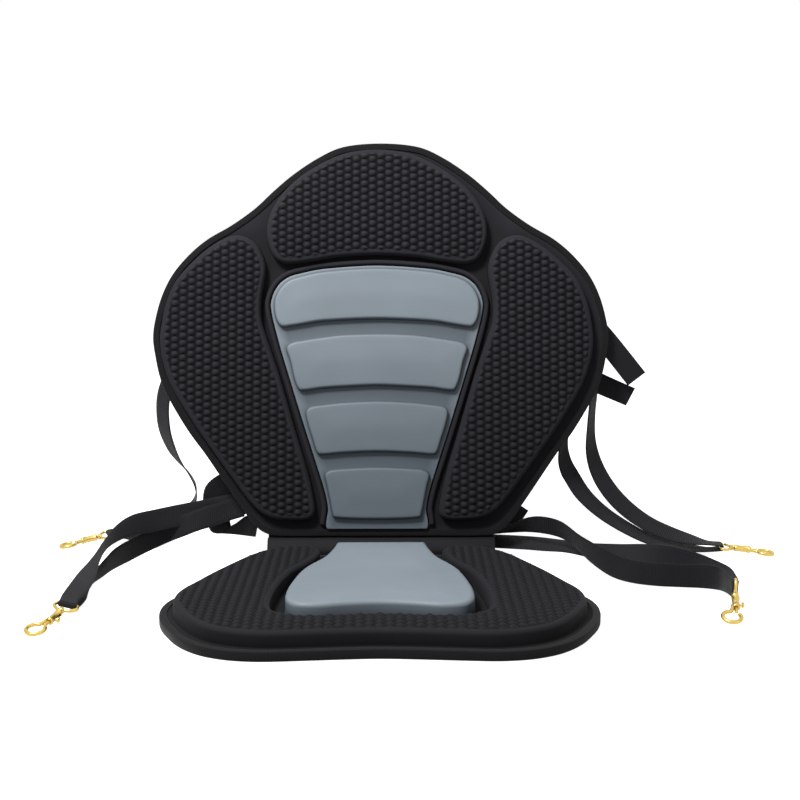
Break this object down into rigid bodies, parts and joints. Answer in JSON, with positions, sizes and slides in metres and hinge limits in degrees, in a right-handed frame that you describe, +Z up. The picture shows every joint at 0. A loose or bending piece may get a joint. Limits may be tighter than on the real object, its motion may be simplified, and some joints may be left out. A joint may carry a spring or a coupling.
{
  "type": "kayak seat",
  "caption": "Kayak seat with a moulded foam seat pad, a folding contoured backrest, webbing straps and brass swivel bolt snaps.",
  "frame": {"origin": "the middle of the seat pad's underside, on the surface that the seat rests on", "axes": "+X to the right seen from the front (the widest direction), +Y from the seat's front edge towards the backrest, +Z up"},
  "size_m": [0.8111, 0.4395, 0.4588],
  "materials": {
    "black_foam": "matte",
    "grey_foam": "satin",
    "backing_fabric": "matte",
    "binding_tape": "matte",
    "webbing": "matte",
    "black_plastic": "satin",
    "brass": "gloss",
    "spring_steel": "satin"
  },
  "bodies": {
    "seat": {"fabric_hinge_strip": "backing_fabric", "front_left_strap": "webbing", "front_left_swivel_eye": "brass", "front_right_strap": "webbing", "front_right_swivel_eye": "brass", "rear_left_strap": "webbing", "rear_left_swivel_eye": "brass", "rear_right_strap": "webbing", "rear_right_swivel_eye": "brass", "seat_bottom_cover": "backing_fabric", "seat_edge_binding": "binding_tape", "seat_grey_insert": "grey_foam", "seat_top_panel": "black_foam"},
    "backrest": {"backrest_edge_binding": "binding_tape", "backrest_front_panel": "black_foam", "backrest_grey_insert": "grey_foam", "backrest_rear_cover": "backing_fabric", "backrest_stiffener_board": "black_plastic", "left_folded_strap_end": "webbing", "lower_left_buckle": "black_plastic", "lower_right_buckle": "black_plastic", "lower_right_strap_tail": "webbing", "lower_webbing_band": "webbing", "right_anchor_tab": "webbing", "upper_left_buckle": "black_plastic", "upper_right_buckle": "black_plastic", "upper_right_strap_tail": "webbing", "upper_webbing_band": "webbing"},
    "hook_front_right": {"front_right_hook_body": "brass"},
    "bolt_front_right": {"front_right_thumb_bolt": "brass", "front_right_bolt_spring": "spring_steel"},
    "hook_front_left": {"front_left_hook_body": "brass"},
    "bolt_front_left": {"front_left_thumb_bolt": "brass", "front_left_bolt_spring": "spring_steel"},
    "hook_rear_right": {"rear_right_hook_body": "brass"},
    "bolt_rear_right": {"rear_right_thumb_bolt": "brass", "rear_right_bolt_spring": "spring_steel"},
    "hook_rear_left": {"rear_left_hook_body": "brass"},
    "bolt_rear_left": {"rear_left_thumb_bolt": "brass", "rear_left_bolt_spring": "spring_steel"}
  },
  "joints": [
    {"name": "backrest_fold", "type": "hinge", "parent": "seat", "child": "backrest", "pos_m": [0, 0.1555, 0.0309], "axis": [1, 0, 0], "range_deg": [-70, 100], "deforming": ["fabric_hinge_strip", "front_right_strap", "front_left_strap", "rear_right_strap", "rear_left_strap"]},
    {"name": "front_right_swivel", "type": "hinge", "parent": "seat", "child": "hook_front_right", "pos_m": [0.3495, -0.0115, 0.0205], "axis": [-0.1817, -0.9388, -0.2927], "continuous": true},
    {"name": "front_right_bolt_slide", "type": "slide", "parent": "hook_front_right", "child": "bolt_front_right", "axis": [0.1817, 0.9388, 0.2927], "range_m": [0, 0.008], "stiffness_N_per_m": 300, "springref_m": -0.005, "deforming": ["front_right_bolt_spring"]},
    {"name": "front_left_swivel", "type": "hinge", "parent": "seat", "child": "hook_front_left", "pos_m": [-0.2996, -0.043, 0.0159], "axis": [-0.3308, -0.9222, -0.2005], "continuous": true},
    {"name": "front_left_bolt_slide", "type": "slide", "parent": "hook_front_left", "child": "bolt_front_left", "axis": [0.3308, 0.9222, 0.2005], "range_m": [0, 0.008], "stiffness_N_per_m": 300, "springref_m": -0.005, "deforming": ["front_left_bolt_spring"]},
    {"name": "rear_right_swivel", "type": "hinge", "parent": "seat", "child": "hook_rear_right", "pos_m": [0.383, 0.1836, 0.0093], "axis": [0.9917, -0.0801, -0.1002], "continuous": true},
    {"name": "rear_right_bolt_slide", "type": "slide", "parent": "hook_rear_right", "child": "bolt_rear_right", "axis": [-0.9917, 0.0801, 0.1002], "range_m": [0, 0.008], "stiffness_N_per_m": 300, "springref_m": -0.005, "deforming": ["rear_right_bolt_spring"]},
    {"name": "rear_left_swivel", "type": "hinge", "parent": "seat", "child": "hook_rear_left", "pos_m": [-0.3155, 0.2346, 0.0112], "axis": [-0.9149, -0.382, -0.1307], "continuous": true},
    {"name": "rear_left_bolt_slide", "type": "slide", "parent": "hook_rear_left", "child": "bolt_rear_left", "axis": [0.9149, 0.382, 0.1307], "range_m": [0, 0.008], "stiffness_N_per_m": 300, "springref_m": -0.005, "deforming": ["rear_left_bolt_spring"]}
  ]
}
